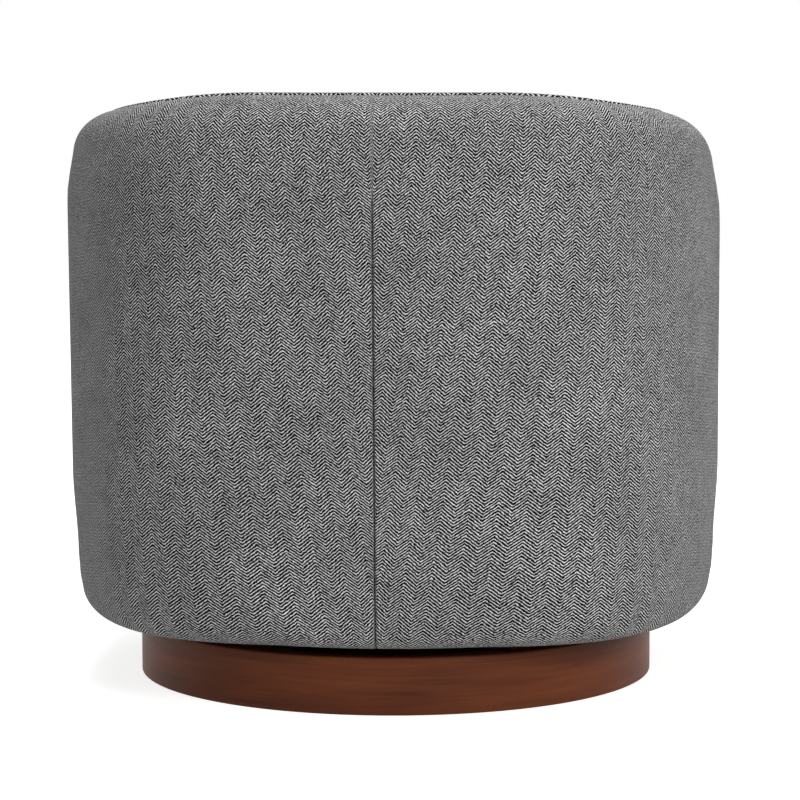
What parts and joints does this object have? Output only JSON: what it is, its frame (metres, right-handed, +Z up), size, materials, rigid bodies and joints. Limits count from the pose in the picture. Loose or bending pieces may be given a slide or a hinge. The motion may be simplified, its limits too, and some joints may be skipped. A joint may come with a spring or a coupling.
{
  "type": "swivel rocker armchair",
  "caption": "Barrel armchair in grey herringbone cloth that swivels and rocks on a low round wooden plinth, with a loose seat cushion.",
  "frame": {"origin": "on the floor, on the swivel axis at the plinth's centre", "axes": "+Z up, the chair faces -Y, its back is at +Y, +X is the sitter's left"},
  "size_m": [0.774, 0.7416, 0.7001],
  "materials": {
    "upholstery": "woven herringbone, light and dark grey",
    "walnut_stained_wood": "dark walnut stain, satin lacquer",
    "frame_wood": "unfinished plywood and softwood",
    "black_steel": "black powder coat",
    "bright_steel": "zinc plated",
    "nylon": "moulded",
    "rubber": "moulded",
    "webbing": "woven polypropylene straps",
    "dust_cloth": "non-woven",
    "deck_felt": "felted pad and platform cloth",
    "fibreboard": "thin fibreboard"
  },
  "bodies": {
    "base": {"plinth_ring": "walnut_stained_wood", "plinth_panel": "frame_wood", "corner_blocks": "frame_wood", "floor_glides": "nylon", "swivel_base_plate": "black_steel", "base_plate_bolts": "bright_steel", "base_plate_nuts": "bright_steel", "swivel_bearing_ring": "nylon", "pivot_bolt": "bright_steel", "pivot_nut": "bright_steel"},
    "turntable": {"swivel_top_plate": "black_steel", "spring_cradle": "black_steel", "cradle_rivets": "bright_steel", "lower_spring_cups": "black_steel", "rocker_springs_front": "bright_steel", "rocker_springs_rear": "bright_steel", "rock_bumpers": "rubber"},
    "chair": {"upper_spring_cups": "black_steel", "rocker_plate": "black_steel", "rocker_bolts": "bright_steel", "rocker_nuts": "bright_steel", "bottom_board": "frame_wood", "dust_cover": "dust_cloth", "cross_rails": "frame_wood", "wall_uprights": "frame_wood", "arm_posts": "frame_wood", "top_rail": "frame_wood", "outer_liner": "fibreboard", "back_webbing": "webbing", "seat_rail": "frame_wood", "front_board": "frame_wood", "webbing_lengthwise": "webbing", "webbing_crosswise": "webbing", "seat_deck": "deck_felt", "outside_cover_left": "upholstery", "outside_cover_right": "upholstery", "edge_roll_left": "upholstery", "edge_roll_right": "upholstery", "inside_pad": "upholstery", "arm_pad_left": "upholstery", "arm_pad_right": "upholstery", "arm_front_left": "upholstery", "arm_front_right": "upholstery", "front_apron": "upholstery"},
    "cushion": {"seat_cushion": "upholstery"}
  },
  "joints": [
    {"name": "swivel", "type": "hinge", "parent": "base", "child": "turntable", "pos_m": [0, 0, 0.038], "axis": [0, 0, 1], "continuous": true},
    {"name": "rock", "type": "hinge", "parent": "turntable", "child": "chair", "pos_m": [0, 0, 0.07], "axis": [1, 0, 0], "range_deg": [-5, 5], "stiffness_Nm_per_rad": 900, "deforming": ["rocker_springs_front", "rocker_springs_rear"]},
    {"name": "cushion_lift", "type": "slide", "parent": "chair", "child": "cushion", "axis": [0, 0.048, 0.9988], "range_m": [0, 0.42]}
  ]
}
